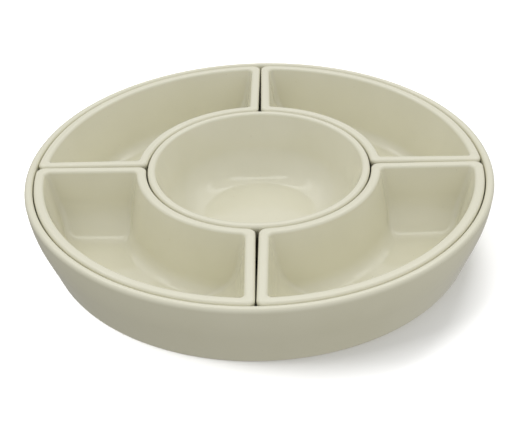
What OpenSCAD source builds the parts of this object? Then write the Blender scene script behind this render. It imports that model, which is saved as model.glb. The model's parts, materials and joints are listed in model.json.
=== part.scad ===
// Round chip and dip server: a serving tray that holds four quarter-ring
// chip dishes around a dip bowl. Every piece is glazed stoneware and lifts out.
// Origin: centre of the tray's foot, on the surface it stands on. +Z is up.

/* [Tray] */
// Overall diameter, across the rim
tray_d = 330.8; // [300:1:360]
// Overall height, from the foot to the top of the rim
tray_h = 52; // [46:1:60]
// Thickness of the tray's rim
tray_rim_w = 5.8; // [5:0.2:8]
// Diameter of the tray where the outside wall would meet the table
tray_base_d = 303.4; // [290:0.2:320]
// Height of the tray's floor above the table
tray_floor_z = 4.2; // [3.8:0.2:6]
// Depth of the recess inside the tray's foot ring
tray_recess = 0.8; // [0.4:0.1:1.2]
// Width of the tray's foot ring
tray_foot_w = 9; // [6:0.5:14]

/* [Dip bowl] */
// Diameter of the bowl, across its rim
bowl_d = 158.4; // [156:0.4:162]
// Thickness of the bowl's rim
bowl_rim_w = 5.1; // [4:0.1:7]
// How far the bowl's wall leans in, from its rim to its floor
bowl_lean = 15; // [12:0.5:17]
// Radius of the curve between the bowl's wall and its floor
bowl_floor_r = 30; // [20:1:31]
// Diameter of the bowl's foot
bowl_foot_d = 88; // [76:1:91]

/* [Chip dishes] */
// Gap between one dish and the next, at the tray's rim
dish_gap = 0.7; // [0.6:0.1:1.6]
// How much wider that gap is at the dip bowl
gap_wedge = 1.2; // [0:0.1:2]
// Gap around the ring of dishes, to the tray's rim and to the bowl's rim
ring_gap = 0.8; // [0.6:0.1:1.6]
// Thickness of a dish's rim
dish_rim_w = 6.6; // [5.6:0.2:8]
// Thickness of a dish's wall below the rim, measured level
dish_wall_w = 5.4; // [4.6:0.2:5.8]
// How far the straight side walls lean in, from rim to floor
side_lean = 8; // [6:0.5:12]
// How far the outer curved wall leans in, from rim to floor
outer_lean = 11.5; // [8:0.5:14]
// How far the inner curved wall leans in, from rim to floor
inner_lean = 9.5; // [6:0.5:12]
// Plan radius of a dish's outside corners, at the rim
dish_corner_r = 5.2; // [4.4:0.2:7]
// Plan radius of the corners of a dish's hollow, at the rim
hollow_corner_r = 3.4; // [3:0.2:5]

/* [Floors] */
// Thickness of the floor of the dishes and of the bowl
floor_t = 3.3; // [3:0.1:4.5]
// Depth of the recess under each dish and under the bowl
foot_recess = 0.5; // [0.3:0.1:0.8]

/* [Hidden] */

glaze = [0.85, 0.84, 0.75];

// Radii that finish a rim, at its outside and inside edges
rim_out_r = 2.4;
rim_in_r = 2.4;
tray_rim_out_r = 2.8;
// A rim's outside face stands upright down to this height, where the wall starts to lean
rim_z = tray_h - 4;
rim_bend_r = 5;
// Facets on a revolved piece, and along one arc of an outline
round_fn = 180;
arc_steps = 8;

// Tray: the wall bends a little at this height, from the steeper upper part
tray_bend_z = 0.7 * tray_h;
tray_bend_r = 80;
// The wall has come in by this much at the bend, and there it is thinner than the rim
tray_bend_in = 1.2;
tray_wall_thin = 0.2;
// Thickness of the wall at the tray's floor, and the radii at the foot and the floor
tray_wall_w = 5;
tray_edge_r = 3;
tray_floor_r = 9;
tray_r = tray_d / 2;
tray_base_r = tray_base_d / 2;
tray_in_r = tray_r - tray_rim_w;

// Small radii that finish a foot ring and the recess inside it
foot_edge_r = 0.8;
recess_edge_r = 0.6;

// Ring of dishes, and the bowl inside it
bowl_r = bowl_d / 2;
dish_out_r = tray_in_r - ring_gap;
dish_in_r = bowl_r + ring_gap;
// The dishes and the bowl stand on the tray's floor
foot_z = tray_floor_z;
hollow_z = foot_z + floor_t;

// Radius between floor and wall inside a dish: sides, outer and inner curved wall
side_floor_r = 28;
outer_floor_r = 10;
inner_floor_r = 11;
// Radius between underside and wall, and how far in the foot ring ends from the foot of that wall
under_r = 14;
dish_foot_in = 16;
// The bowl's foot ring: its width and height, and how far it flares out on the way up
bowl_foot_w = 5;
bowl_foot_h = 1.6;
bowl_foot_flare = 0.4;
// The bowl's underside: its radius up to the wall, and how far that wall's foot lies in from the inside's
bowl_under_r = 0.7 * bowl_floor_r;
bowl_toe_in = 2;
// A corner of a dish opens out by this much from rim to foot, or from rim to floor
corner_growth = 1.4;
// Facets of a dish: along its outer arc, its inner arc and each corner
outer_steps = 9;
inner_steps = 6;
corner_steps = 5;
// Facets of its section: where the wall leaves the rim, at the rim and underside, and at the floor
bend_steps = 1;
section_steps = 4;
floor_steps = 9;

function unit(v) = v / norm(v);

function all_but_last(list) = [for (i = [0 : len(list) - 2]) list[i]];

// Points of the arc of radius r that rounds corner p of the path a, p, b
function round_corner(a, p, b, r, steps) =
    let (
        to_a = unit(a - p),
        to_b = unit(b - p),
        half = acos(to_a * to_b) / 2,
        centre = p + unit(to_a + to_b) * r / sin(half),
        start = p + to_a * r / tan(half) - centre,
        end = p + to_b * r / tan(half) - centre,
        turn = (90 - half) * 2 * sign(start.x * end.y - start.y * end.x)
    )
    [for (i = [0 : steps])
        let (a = turn * i / steps)
        centre + [start.x * cos(a) - start.y * sin(a), start.x * sin(a) + start.y * cos(a)]];

// A path whose inner points [x, y, radius, steps] are rounded; the two ends stay sharp
function rounded_path(path) = [
    [path[0].x, path[0].y],
    for (i = [1 : len(path) - 2])
        let (
            a = [path[i - 1].x, path[i - 1].y],
            p = [path[i].x, path[i].y],
            b = [path[i + 1].x, path[i + 1].y]
        )
        each (path[i][2] > 0 ? round_corner(a, p, b, path[i][2], path[i][3]) : [p]),
    [path[len(path) - 1].x, path[len(path) - 1].y]
];

// A solid of revolution from a section given as a path from axis to axis
module turned(path) {
    rotate_extrude($fn = round_fn)
        polygon(rounded_path(path));
}

// Serving tray: foot ring, leaning outer wall, rounded rim, level floor
module serving_tray() {
    bend_out_r = tray_r - tray_bend_in;
    bend_in_r = bend_out_r - tray_rim_w + tray_wall_thin;
    foot_in_r = tray_base_r - tray_edge_r - tray_foot_w;
    color(glaze)
        turned([
            [0, tray_recess],
            [foot_in_r - tray_recess, tray_recess, recess_edge_r, 3],
            [foot_in_r, 0, foot_edge_r, 3],
            [tray_base_r, 0, tray_edge_r, 6],
            [bend_out_r, tray_bend_z, tray_bend_r, 6],
            [tray_r, tray_h, tray_rim_out_r, arc_steps],
            [tray_in_r, tray_h, rim_in_r, arc_steps],
            [bend_in_r, tray_bend_z, tray_bend_r, 6],
            [tray_base_r - tray_wall_w, tray_floor_z, tray_floor_r, arc_steps],
            [0, tray_floor_z]
        ]);
}

// Dip bowl: round, with a curved wall, a level floor and a low foot ring
module dip_bowl() {
    hollow_r = bowl_r - bowl_rim_w;
    foot_r = bowl_foot_d / 2;
    foot_in_r = foot_r - bowl_foot_w;
    color(glaze)
        turned([
            [0, foot_z + foot_recess],
            [foot_in_r - foot_recess, foot_z + foot_recess, recess_edge_r, 2],
            [foot_in_r, foot_z, recess_edge_r, 2],
            [foot_r, foot_z, foot_edge_r, 3],
            [foot_r + bowl_foot_flare, foot_z + bowl_foot_h, foot_edge_r, 3],
            [bowl_r - bowl_lean - bowl_toe_in, foot_z + bowl_foot_h, bowl_under_r, 10],
            [bowl_r, rim_z, rim_bend_r, 4],
            [bowl_r, tray_h, rim_out_r, arc_steps],
            [hollow_r, tray_h, rim_in_r, arc_steps],
            [hollow_r - bowl_lean, hollow_z, bowl_floor_r, 12],
            [0, hollow_z]
        ]);
}

// How far in from the rim's outer edge the inside of a dish's wall is, at height z
function inside_x(z, lean, floor_r) =
    let (
        depth = tray_h - hollow_z,
        wall_a = atan2(depth, lean),
        end_x = dish_rim_w + lean + floor_r * tan(wall_a / 2),
        h = z - hollow_z
    )
    h > floor_r * (1 - cos(wall_a))
        ? dish_rim_w + lean * (tray_h - z) / depth
        : end_x - sqrt(floor_r * floor_r - pow(floor_r - h, 2));

// Heights of the rings in the lower part of a hollow, where the sides curve into the floor
side_wall_a = atan2(tray_h - hollow_z, side_lean);
levels = [for (i = [0 : floor_steps])
    hollow_z + side_floor_r * (1 - cos(side_wall_a * (1 - i / floor_steps)))];

// Section through one wall of a dish, from the underside to the floor of its hollow.
// x is the distance in from the rim's outer edge, y the height.
function wall_section(lean, floor_r) =
    let (
        floor_x = dish_rim_w + lean,
        base_x = floor_x - dish_wall_w,
        foot_x = base_x + dish_foot_in,
        outside = rounded_path([
            [foot_x + foot_recess, foot_z + foot_recess],
            [foot_x, foot_z, 0],
            [base_x, foot_z, under_r, section_steps],
            [0, rim_z, rim_bend_r, bend_steps],
            [0, tray_h, rim_out_r, section_steps],
            [dish_rim_w, tray_h, rim_in_r, section_steps],
            [floor_x, hollow_z]
        ])
    )
    concat(all_but_last(outside), [for (z = levels) [inside_x(z, lean, floor_r), z]]);

side_section = wall_section(side_lean, side_floor_r);
outer_section = wall_section(outer_lean, outer_floor_r);
inner_section = wall_section(inner_lean, inner_floor_r);
ring_count = len(side_section);
// The first rings lie outside the dish, up to the crest of its rim
outside_count = 2 + 2 * (section_steps + 1) + bend_steps + 1;

// Arc of radius r around centre, whose height runs from z0 to z1
function arc3(centre, r, a0, a1, steps, z0, z1) =
    [for (i = [0 : steps])
        let (t = i / steps, a = a0 + (a1 - a0) * t)
        [centre.x + r * cos(a), centre.y + r * sin(a), z0 + (z1 - z0) * t]];

// Half of a ring around a quarter-ring outline, from the middle of its inner arc
// along the side to the middle of its outer arc. Each argument but the corner
// radius is [distance, height].
function half_ring(side, outer, inner, corner) =
    let (
        inner_a = asin((side.x + gap_wedge / 2 + corner) / (inner.x + corner)),
        outer_a = asin((side.x + corner) / (outer.x - corner)),
        inner_c = (inner.x + corner) * [cos(inner_a), sin(inner_a)],
        outer_c = (outer.x - corner) * [cos(outer_a), sin(outer_a)]
    )
    concat(
        all_but_last(arc3([0, 0], inner.x, 45, inner_a, inner_steps, inner.y, inner.y)),
        arc3(inner_c, corner, inner_a + 180, 270, corner_steps, inner.y, side.y),
        arc3(outer_c, corner, -90, outer_a, corner_steps, side.y, outer.y),
        [for (p = arc3([0, 0], outer.x, outer_a, 45, outer_steps, outer.y, outer.y))
            if (atan2(p.y, p.x) > outer_a + 0.01) p]
    );

// A whole ring: half a ring, and the same mirrored about the 45 degree line
function dish_ring(k) =
    let (
        z = side_section[k].y,
        edge_r = k < outside_count ? dish_corner_r : hollow_corner_r,
        corner = edge_r + corner_growth * (tray_h - z) / (tray_h - foot_z),
        half = half_ring(
            [dish_gap / 2 + side_section[k].x, side_section[k].y],
            [dish_out_r - outer_section[k].x, outer_section[k].y],
            [dish_in_r + inner_section[k].x, inner_section[k].y],
            corner)
    )
    concat(half, [for (i = [len(half) - 2 : -1 : 1]) [half[i].y, half[i].x, half[i].z]]);

// A chip dish in the quadrant between +X and +Y: one closed skin through the rings
module chip_dish() {
    rings = [for (k = [0 : ring_count - 1]) dish_ring(k)];
    n = len(rings[0]);
    last = ring_count - 1;
    walls = [for (k = [0 : last - 1]) for (i = [0 : n - 1])
        let (a = k * n + i, b = k * n + (i + 1) % n)
        each [[a, b + n, b], [a, a + n, b + n]]];
    underside = [for (i = [0 : n - 1]) i];
    hollow_floor = [for (i = [n - 1 : -1 : 0]) last * n + i];
    polyhedron(points = [for (ring = rings) each ring], faces = [underside, each walls, hollow_floor]);
}

module chip_dish_back_right() {
    color(glaze) chip_dish();
}

module chip_dish_back_left() {
    color(glaze) rotate([0, 0, 90]) chip_dish();
}

module chip_dish_front_left() {
    color(glaze) rotate([0, 0, 180]) chip_dish();
}

module chip_dish_front_right() {
    color(glaze) rotate([0, 0, 270]) chip_dish();
}

serving_tray();
dip_bowl();
chip_dish_front_left();
chip_dish_front_right();
chip_dish_back_left();
chip_dish_back_right();
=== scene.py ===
"""Glazed stoneware chip and dip server: a tray, four quarter-ring dishes and a dip bowl."""
import json
import math

import bpy
from mathutils import Matrix, Vector


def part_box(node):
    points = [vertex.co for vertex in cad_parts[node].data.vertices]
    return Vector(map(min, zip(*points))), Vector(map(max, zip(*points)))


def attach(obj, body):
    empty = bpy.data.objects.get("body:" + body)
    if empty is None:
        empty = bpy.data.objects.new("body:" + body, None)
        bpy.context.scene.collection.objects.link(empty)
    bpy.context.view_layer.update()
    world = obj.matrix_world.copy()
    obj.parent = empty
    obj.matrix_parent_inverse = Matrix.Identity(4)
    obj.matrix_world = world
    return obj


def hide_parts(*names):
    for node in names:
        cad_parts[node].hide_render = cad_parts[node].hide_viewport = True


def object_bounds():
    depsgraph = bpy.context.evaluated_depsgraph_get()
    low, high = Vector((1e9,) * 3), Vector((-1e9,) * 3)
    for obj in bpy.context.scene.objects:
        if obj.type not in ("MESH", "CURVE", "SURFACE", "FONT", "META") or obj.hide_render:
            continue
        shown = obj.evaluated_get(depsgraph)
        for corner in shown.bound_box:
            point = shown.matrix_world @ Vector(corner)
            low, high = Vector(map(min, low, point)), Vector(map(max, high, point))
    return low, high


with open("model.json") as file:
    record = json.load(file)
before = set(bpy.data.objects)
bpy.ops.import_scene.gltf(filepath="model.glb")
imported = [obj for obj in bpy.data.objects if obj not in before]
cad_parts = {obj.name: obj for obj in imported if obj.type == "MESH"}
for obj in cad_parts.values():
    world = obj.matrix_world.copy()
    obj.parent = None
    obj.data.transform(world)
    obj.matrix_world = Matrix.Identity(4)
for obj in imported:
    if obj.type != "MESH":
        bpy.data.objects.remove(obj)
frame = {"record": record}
cad_low, cad_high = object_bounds()
MM = 0.001

# ---------------------------------------------------------------- sizes, as the CAD model has them
TRAY, BOWL = "serving_tray", "dip_bowl"
DISHES = {  # node: quarter turns from the dish between +X and +Y
    "chip_dish_back_right": 0,
    "chip_dish_back_left": 1,
    "chip_dish_front_left": 2,
    "chip_dish_front_right": 3,
}

rim_top = cad_high.z
foot_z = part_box(BOWL)[0].z
floor_thickness = 3.3 * MM
hollow_z = foot_z + floor_thickness
foot_recess = 0.5 * MM
rim_radius = 2.4 * MM
rim_lower = rim_top - 4 * MM
rim_bend = 5 * MM

tray_radius = 165.4 * MM
tray_rim = 5.8 * MM
tray_base = 151.7 * MM
tray_bend_z = 0.7 * rim_top
tray_bend = 80 * MM
tray_bend_in = 1.2 * MM
tray_wall_thin = 0.2 * MM
tray_wall = 5 * MM
tray_recess = 0.8 * MM
tray_foot_in = 12 * MM
tray_edge = 3 * MM
tray_floor_radius = 9 * MM
tray_rim_radius = 2.8 * MM
tray_recess_edge = 1 * MM
foot_edge = 0.8 * MM

bowl_radius = 79.2 * MM
bowl_rim = 5.1 * MM
bowl_lean = 15 * MM
bowl_curve = 30 * MM
bowl_foot = 44 * MM
bowl_foot_width = 5 * MM
bowl_foot_height = 1.6 * MM
bowl_foot_flare = 0.4 * MM
bowl_under_curve = bowl_curve * 0.7
bowl_toe_in = 2 * MM
recess_edge = 0.6 * MM

ring_gap = 0.8 * MM
half_gap = 0.35 * MM
gap_wedge = 0.6 * MM  # half of what a gap between dishes widens by at the bowl
dish_outer = tray_radius - tray_rim - ring_gap
dish_inner = bowl_radius + ring_gap
dish_rim = 6.6 * MM
dish_wall = 5.4 * MM
dish_foot = 16 * MM
under_radius = 14 * MM
side_floor = 28 * MM
DISH_WALLS = [  # how far each wall leans in, and its radius to the floor: side, outer, inner
    (8 * MM, side_floor),
    (11.5 * MM, 10 * MM),
    (9.5 * MM, 11 * MM),
]
fillet_angle = math.radians(80)
corner_rim = 5.2 * MM
corner_hollow = 3.4 * MM
corner_growth = 1.4 * MM


# ---------------------------------------------------------------- outlines
def round_corner(a, p, b, radius, steps):
    """Points of the arc that rounds corner p of the path a, p, b."""
    to_a, to_b = (a - p).normalized(), (b - p).normalized()
    half = to_a.angle(to_b) / 2
    centre = p + (to_a + to_b).normalized() * (radius / math.sin(half))
    start = p + to_a * (radius / math.tan(half)) - centre
    end = p + to_b * (radius / math.tan(half)) - centre
    turn = math.copysign(math.pi - 2 * half, start.x * end.y - start.y * end.x)
    points = []
    for i in range(steps + 1):
        c, s = math.cos(turn * i / steps), math.sin(turn * i / steps)
        points.append(centre + Vector((start.x * c - start.y * s, start.x * s + start.y * c)))
    return points


def rounded_path(path):
    """A path of (x, y) or (x, y, radius, steps) points, rounded at its inner points."""
    flat = [Vector(p[:2]) for p in path]
    points = [flat[0]]
    for i in range(1, len(path) - 1):
        if path[i][2] > 0:
            points += round_corner(flat[i - 1], flat[i], flat[i + 1], path[i][2], path[i][3])
        else:
            points.append(flat[i])
    return points + [flat[-1]]


def arc_points(centre, radius, a0, a1, steps, z0, z1):
    """Points on an arc, from angle a0 to a1, while the height runs from z0 to z1."""
    points = []
    for i in range(steps + 1):
        t = i / steps
        a = a0 + (a1 - a0) * t
        ease = t * t * (3 - 2 * t)
        x, y = centre.x + radius * math.cos(a), centre.y + radius * math.sin(a)
        points.append(Vector((x, y, z0 + (z1 - z0) * ease)))
    return points


# ---------------------------------------------------------------- meshes
def make_object(name, verts, faces):
    mesh = bpy.data.meshes.new(name)
    mesh.from_pydata(verts, [], faces)
    mesh.validate()
    mesh.polygons.foreach_set("use_smooth", [True] * len(mesh.polygons))
    obj = bpy.data.objects.new(name, mesh)
    bpy.context.scene.collection.objects.link(obj)
    return obj


def turned(name, path, segments):
    """A solid of revolution from a section that runs from axis to axis."""
    section = rounded_path(path)
    verts = [Vector((0, 0, section[0].y))]
    rings = section[1:-1]
    for p in rings:
        for i in range(segments):
            a = 2 * math.pi * i / segments
            verts.append(Vector((p.x * math.cos(a), p.x * math.sin(a), p.y)))
    verts.append(Vector((0, 0, section[-1].y)))
    last = len(verts) - 1
    faces = []
    for k in range(len(rings) - 1):
        for i in range(segments):
            j = (i + 1) % segments
            a, b = 1 + k * segments, 1 + (k + 1) * segments
            faces.append((a + i, a + j, b + j, b + i))
    top = 1 + (len(rings) - 1) * segments
    for i in range(segments):
        j = (i + 1) % segments
        faces.append((0, 1 + j, 1 + i))
        faces.append((last, top + i, top + j))
    return make_object(name, verts, faces)


def make_tray():
    bend_out = tray_radius - tray_bend_in
    bend_in = bend_out - tray_rim + tray_wall_thin
    foot_in = tray_base - tray_foot_in
    return turned("tray_body", [
        (0, tray_recess),
        (foot_in - tray_recess, tray_recess, tray_recess_edge, 6),
        (foot_in, 0, foot_edge, 6),
        (tray_base, 0, tray_edge, 14),
        (bend_out, tray_bend_z, tray_bend, 24),
        (tray_radius, rim_top, tray_rim_radius, 20),
        (tray_radius - tray_rim, rim_top, rim_radius, 20),
        (bend_in, tray_bend_z, tray_bend, 16),
        (tray_base - tray_wall, foot_z, tray_floor_radius, 16),
        (0, foot_z),
    ], 360)


def make_bowl():
    hollow = bowl_radius - bowl_rim
    foot_in = bowl_foot - bowl_foot_width
    foot_top = foot_z + bowl_foot_height
    return turned("bowl_body", [
        (0, foot_z + foot_recess),
        (foot_in - foot_recess, foot_z + foot_recess, recess_edge, 4),
        (foot_in, foot_z, recess_edge, 4),
        (bowl_foot, foot_z, foot_edge, 6),
        (bowl_foot + bowl_foot_flare, foot_top, foot_edge, 6),
        (bowl_radius - bowl_lean - bowl_toe_in, foot_top, bowl_under_curve, 24),
        (bowl_radius, rim_lower, rim_bend, 8),
        (bowl_radius, rim_top, rim_radius, 20),
        (hollow, rim_top, rim_radius, 20),
        (hollow - bowl_lean, hollow_z, bowl_curve, 36),
        (0, hollow_z),
    ], 240)


def inside_x(z, lean, floor_radius):
    """How far in from the rim's outer edge the inside of a wall is, at height z."""
    depth = rim_top - hollow_z
    angle = math.atan2(depth, lean)
    h = z - hollow_z
    if h > floor_radius * (1 - math.cos(angle)):
        return dish_rim + lean * (rim_top - z) / depth
    end = dish_rim + lean + floor_radius * math.tan(angle / 2)
    return end - math.sqrt(max(floor_radius ** 2 - (floor_radius - h) ** 2, 0))


def wall_section(lean, floor_radius):
    """Section through a dish's wall: x is how far in from the rim's outer edge, y the height."""
    floor_x = dish_rim + lean
    base = floor_x - dish_wall
    foot = base + dish_foot
    outside = rounded_path([
        (foot + foot_recess, foot_z + foot_recess),
        (foot, foot_z, 0),
        (base, foot_z, under_radius, 12),
        (0, rim_lower, rim_bend, 5),
        (0, rim_top, rim_radius, 14),
        (dish_rim, rim_top, rim_radius, 14),
        (floor_x, hollow_z),
    ])[:-1]
    steps = 30
    angles = [fillet_angle * (1 - i / steps) for i in range(steps + 1)]
    levels = [hollow_z + side_floor * (1 - math.cos(a)) for a in angles]
    return outside + [Vector((inside_x(z, lean, floor_radius), z)) for z in levels]


# Rings outside a dish: the foot, the underside's curve, the bend below the rim and the rim's edge
OUTSIDE_RINGS = 2 + 13 + 6 + 15


def half_ring(side, outer, inner, corner):
    """Half of a quarter-ring outline, from the middle of its inner arc to that of its outer arc."""
    steps = 28
    corner_steps = 12
    a_in = math.asin((side.x + gap_wedge + corner) / (inner.x + corner))
    a_out = math.asin((side.x + corner) / (outer.x - corner))
    middle = Vector((0, 0))
    c_in = Vector((math.cos(a_in), math.sin(a_in))) * (inner.x + corner)
    c_out = Vector((math.cos(a_out), math.sin(a_out))) * (outer.x - corner)
    points = arc_points(middle, inner.x, math.pi / 4, a_in, steps, inner.y, inner.y)[:-1]
    points += arc_points(c_in, corner, a_in + math.pi, 1.5 * math.pi, corner_steps, inner.y, side.y)
    a, b = points[-1], arc_points(c_out, corner, -math.pi / 2, a_out, corner_steps, side.y, outer.y)
    line_steps = 12
    points += [a.lerp(b[0], i / line_steps) for i in range(1, line_steps)]
    points += b
    points += arc_points(middle, outer.x, a_out, math.pi / 4, steps, outer.y, outer.y)[1:]
    return points


def make_dish(name, quarter_turns):
    sections = [wall_section(lean, floor_radius) for lean, floor_radius in DISH_WALLS]
    verts = []
    rings = len(sections[0])
    for k in range(rings):
        side, outer, inner = (s[k] for s in sections)
        edge = corner_rim if k < OUTSIDE_RINGS else corner_hollow
        corner = edge + corner_growth * (rim_top - side.y) / (rim_top - foot_z)
        half = half_ring(
            Vector((half_gap + side.x, side.y)), Vector((dish_outer - outer.x, outer.y)),
            Vector((dish_inner + inner.x, inner.y)), corner)
        verts += half + [Vector((p.y, p.x, p.z)) for p in reversed(half[1:-1])]
    n = len(verts) // rings
    faces = []
    for k in range(rings - 1):
        for i in range(n):
            j = (i + 1) % n
            faces.append((k * n + i, k * n + j, (k + 1) * n + j, (k + 1) * n + i))
    faces.append(tuple(range(n - 1, -1, -1)))
    faces.append(tuple((rings - 1) * n + i for i in range(n)))
    turn = Matrix.Rotation(quarter_turns * math.pi / 2, 4, "Z")
    return make_object(name, [turn @ v for v in verts], faces)


pieces = {TRAY: make_tray(), BOWL: make_bowl()}
for node, turns in DISHES.items():
    pieces[node] = make_dish(node.replace("chip_dish", "dish") + "_body", turns)

# ---------------------------------------------------------------- materials
def link_math(tree, operation, a, b=0.0, c=0.0, clamp=False):
    node = tree.nodes.new("ShaderNodeMath")
    node.operation = operation
    node.use_clamp = clamp
    for i, value in enumerate((a, b, c)):
        if isinstance(value, (int, float)):
            node.inputs[i].default_value = value
        else:
            tree.links.new(value, node.inputs[i])
    return node.outputs[0]


def ramp(tree, value, stops):
    """Brightness or colour along a value from 0 to 1."""
    node = tree.nodes.new("ShaderNodeValToRGB")
    elements = node.color_ramp.elements
    while len(elements) < len(stops):
        elements.new(0.5)
    for element, (place, level) in zip(elements, stops):
        element.position = place
        element.color = (*level, 1) if isinstance(level, tuple) else (level, level, level, 1)
    tree.links.new(value, node.inputs[0])
    return node.outputs[0]


def noise_value(tree, vector, scale, detail, offset=0.0):
    node = tree.nodes.new("ShaderNodeTexNoise")
    node.noise_dimensions = "4D"
    node.inputs["Scale"].default_value = scale
    node.inputs["Detail"].default_value = detail
    node.inputs["W"].default_value = offset
    tree.links.new(vector, node.inputs["Vector"])
    return node.outputs["Fac"]


def mix_colour(tree, factor, a, b):
    node = tree.nodes.new("ShaderNodeMix")
    node.data_type = "RGBA"
    tree.links.new(factor, node.inputs["Factor"])
    for socket, value in ((node.inputs[6], a), (node.inputs[7], b)):
        if isinstance(value, tuple):
            socket.default_value = (*value, 1)
        else:
            tree.links.new(value, socket)
    return node.outputs[2]


def between(tree, value, low, high):
    """0 below low, 1 above high."""
    node = tree.nodes.new("ShaderNodeMapRange")
    node.interpolation_type = "SMOOTHSTEP"
    node.inputs["From Min"].default_value = low
    node.inputs["From Max"].default_value = high
    tree.links.new(value, node.inputs["Value"])
    return node.outputs["Result"]


GLAZE_POOL = (0.755, 0.732, 0.573)
GLAZE_BODY = (0.775, 0.752, 0.598)
# The lightest glaze tone, also used on the rim crests for thinner glaze and a painted highlight.
GLAZE_THIN_AND_HIGHLIGHT = (0.79, 0.767, 0.617)
SPECK = (0.5, 0.44, 0.3)
BISQUE = (0.62, 0.53, 0.4)


def glaze(name, foot_height, seed):
    """Ivory glaze over stoneware, with a bare ground ring where the piece stands."""
    mat = bpy.data.materials.new(name)
    mat.use_nodes = True
    t = mat.node_tree
    bsdf = t.nodes["Principled BSDF"]
    place = t.nodes.new("ShaderNodeTexCoord").outputs["Object"]
    xyz = t.nodes.new("ShaderNodeSeparateXYZ")
    t.links.new(place, xyz.inputs[0])
    height = xyz.outputs["Z"]

    cloud = noise_value(t, place, 22, 3, seed)
    body = ramp(t, cloud, [(0.3, GLAZE_POOL), (0.5, GLAZE_BODY), (0.72, GLAZE_THIN_AND_HIGHLIGHT)])
    # The top 1.6 mm of every rim is mixed towards the lightest glaze tone: partly thinner glaze on
    # the crest, partly a painted highlight.
    crest_thin_glaze_and_highlight = between(t, height, rim_top - 1.6 * MM, rim_top - 0.1 * MM)
    body = mix_colour(t, link_math(t, "MULTIPLY", crest_thin_glaze_and_highlight, 0.8), body, GLAZE_THIN_AND_HIGHLIGHT)

    cells = t.nodes.new("ShaderNodeTexVoronoi")
    cells.inputs["Scale"].default_value = 240
    t.links.new(place, cells.inputs["Vector"])
    dot = between(t, cells.outputs["Distance"], 0.12, 0.06)
    chosen = between(t, noise_value(t, cells.outputs["Position"], 900, 0, seed + 3), 0.66, 0.7)
    specks = link_math(t, "MULTIPLY", link_math(t, "MULTIPLY", dot, chosen), 0.35)
    body = mix_colour(t, specks, body, SPECK)

    uneven = link_math(t, "ADD", height, link_math(t, "MULTIPLY", cloud, 0.2 * MM))
    bare = between(t, uneven, foot_height + 0.55 * MM, foot_height + 0.4 * MM)
    grit = noise_value(t, place, 2600, 4, seed + 5)
    clay = ramp(t, grit, [(0.3, (0.53, 0.44, 0.32)), (0.6, BISQUE), (0.75, (0.7, 0.62, 0.49))])
    t.links.new(mix_colour(t, bare, body, clay), bsdf.inputs["Base Color"])

    sheen = ramp(t, noise_value(t, place, 55, 3, seed + 7), [(0.3, 0.04), (0.7, 0.075)])
    t.links.new(link_math(t, "MULTIPLY_ADD", bare, 0.6, sheen), bsdf.inputs["Roughness"])

    peel = noise_value(t, place, 130, 2, seed + 9)
    pits = noise_value(t, place, 1500, 3, seed + 11)
    rough = link_math(t, "MULTIPLY", pits, link_math(t, "MULTIPLY_ADD", bare, 0.5, 0.02))
    bump = t.nodes.new("ShaderNodeBump")
    bump.inputs["Strength"].default_value = 1
    bump.inputs["Distance"].default_value = 0.06 * MM
    t.links.new(link_math(t, "ADD", peel, rough), bump.inputs["Height"])
    t.links.new(bump.outputs["Normal"], bsdf.inputs["Normal"])
    return mat


slots = {TRAY: "tray_glaze", BOWL: "bowl_glaze"}
mats = {
    "tray_glaze": glaze("tray_glaze", 0.0, 1),
    "bowl_glaze": glaze("bowl_glaze", foot_z, 5),
    "dish_glaze": glaze("dish_glaze", foot_z, 9),
}
bodies = frame["record"]["behaviour"]["bodies"]
node_body = {n: body for body, nodes in bodies.items() for n in nodes}
for node, piece in pieces.items():
    slot = slots.get(node, "dish_glaze")
    piece.data.materials.append(mats[slot])
    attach(piece, node_body[node])
    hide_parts(node)

# ---------------------------------------------------------------- floor, light and camera
def make_floor():
    size = 4
    corners = [(-size, -size, 0), (size, -size, 0), (size, size, 0), (-size, size, 0)]
    obj = make_object("studio_floor", corners, [(0, 1, 2, 3)])
    mat = bpy.data.materials.new("studio_floor")
    mat.use_nodes = True
    b = mat.node_tree.nodes["Principled BSDF"]
    b.inputs["Base Color"].default_value = (0.75, 0.75, 0.75, 1)
    b.inputs["Roughness"].default_value = 0.9
    b.inputs["Emission Color"].default_value = (1, 1, 1, 1)
    b.inputs["Emission Strength"].default_value = 0.12
    obj.data.materials.append(mat)
    obj.visible_diffuse = False
    obj.visible_glossy = False


def area_light(name, place, size, power):
    """A square light that points at the centre of the server's foot."""
    data = bpy.data.lights.new(name, "AREA")
    data.energy = power
    data.size = size
    obj = bpy.data.objects.new(name, data)
    obj.location = place
    obj.rotation_mode = "QUATERNION"
    obj.rotation_quaternion = (-Vector(place)).to_track_quat("-Z", "Y")
    bpy.context.scene.collection.objects.link(obj)
    return obj


make_floor()
floor_lights = [
    area_light("floor_left", (-0.80, -0.29, 1.2), 0.7, 14),
    area_light("floor_low_left", (-1.6, -0.1, 0.75), 0.6, 19),
    area_light("floor_back", (0.4, 0.75, 1.0), 0.5, 11),
]
only_floor = bpy.data.collections.new("only_floor")
only_floor.objects.link(bpy.data.objects["studio_floor"])
for lamp in floor_lights:
    lamp.light_linking.receiver_collection = only_floor

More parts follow.
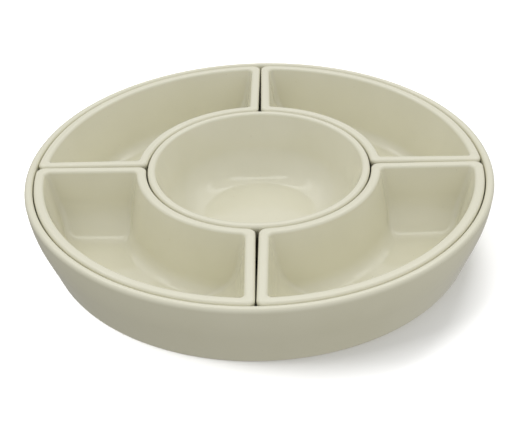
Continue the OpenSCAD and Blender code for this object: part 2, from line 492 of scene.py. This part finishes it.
world = bpy.data.worlds.new("studio")
bpy.context.scene.world = world
world.use_nodes = True
wt = world.node_tree
coords = wt.nodes.new("ShaderNodeTexCoord")
split = wt.nodes.new("ShaderNodeSeparateXYZ")
wt.links.new(coords.outputs["Generated"], split.inputs[0])
up = link_math(wt, "MULTIPLY_ADD", split.outputs["Z"], 0.5, 0.5)
height = split.outputs["Z"]
sky = ramp(wt, up, [
    (0.0, 0.46), (0.48, 0.48), (0.52, 0.56), (0.7, 0.69), (0.85, 0.81), (0.96, 0.84), (0.985, 0.6)])
below = between(wt, height, 0.05, -0.25)
tilt = link_math(wt, "MULTIPLY", below, split.outputs["X"])
sky = link_math(wt, "MULTIPLY_ADD", tilt, 0.16, sky)
squared = link_math(wt, "MULTIPLY", height, height)
level = link_math(wt, "SQRT", link_math(wt, "SUBTRACT", 1.0, squared))
facing = link_math(wt, "DIVIDE", split.outputs["Y"], level)
strips = ramp(wt, height, [
    (0.55, 0), (0.68, 0.34), (0.76, 0.34), (0.78, 0.85), (0.815, 0.85),
    (0.83, 0.1), (0.93, 0.1), (0.945, 1), (0.972, 1), (0.98, 0)])
sides = ramp(wt, facing, [(0.2, 0), (0.6, 1)])
box = link_math(wt, "MULTIPLY", strips, sides)
background = wt.nodes["Background"]
wt.links.new(link_math(wt, "MULTIPLY_ADD", box, 2.15, sky), background.inputs["Strength"])
tint = mix_colour(wt, below, (1.0, 1.0, 1.0), (1.0, 0.975, 0.87))
wt.links.new(tint, background.inputs["Color"])
bpy.context.scene.view_settings.view_transform = "Standard"


def make_camera():
    data = bpy.data.cameras.new("camera")
    data.sensor_width, data.lens = 36, 71.9
    obj = bpy.data.objects.new("camera", data)
    distance = 742.7 * MM
    elevation, azimuth, roll = (math.radians(a) for a in (31.33, 1.55, 1.77))
    rim_plane = 50 * MM
    centre = Vector((0, 0, rim_plane))
    flat = Vector((math.sin(azimuth), -math.cos(azimuth), 0))
    back = flat * math.cos(elevation) + Vector((0, 0, math.sin(elevation)))
    obj.location = centre + back * distance
    aim = Vector((1.6 * MM, -57.6 * MM, rim_plane))
    look = (aim - obj.location).normalized()
    obj.rotation_mode = "QUATERNION"
    level = look.to_track_quat("-Z", "Y")
    obj.rotation_quaternion = Matrix.Rotation(roll, 4, look).to_quaternion() @ level
    bpy.context.scene.collection.objects.link(obj)
    bpy.context.scene.camera = obj


make_camera()
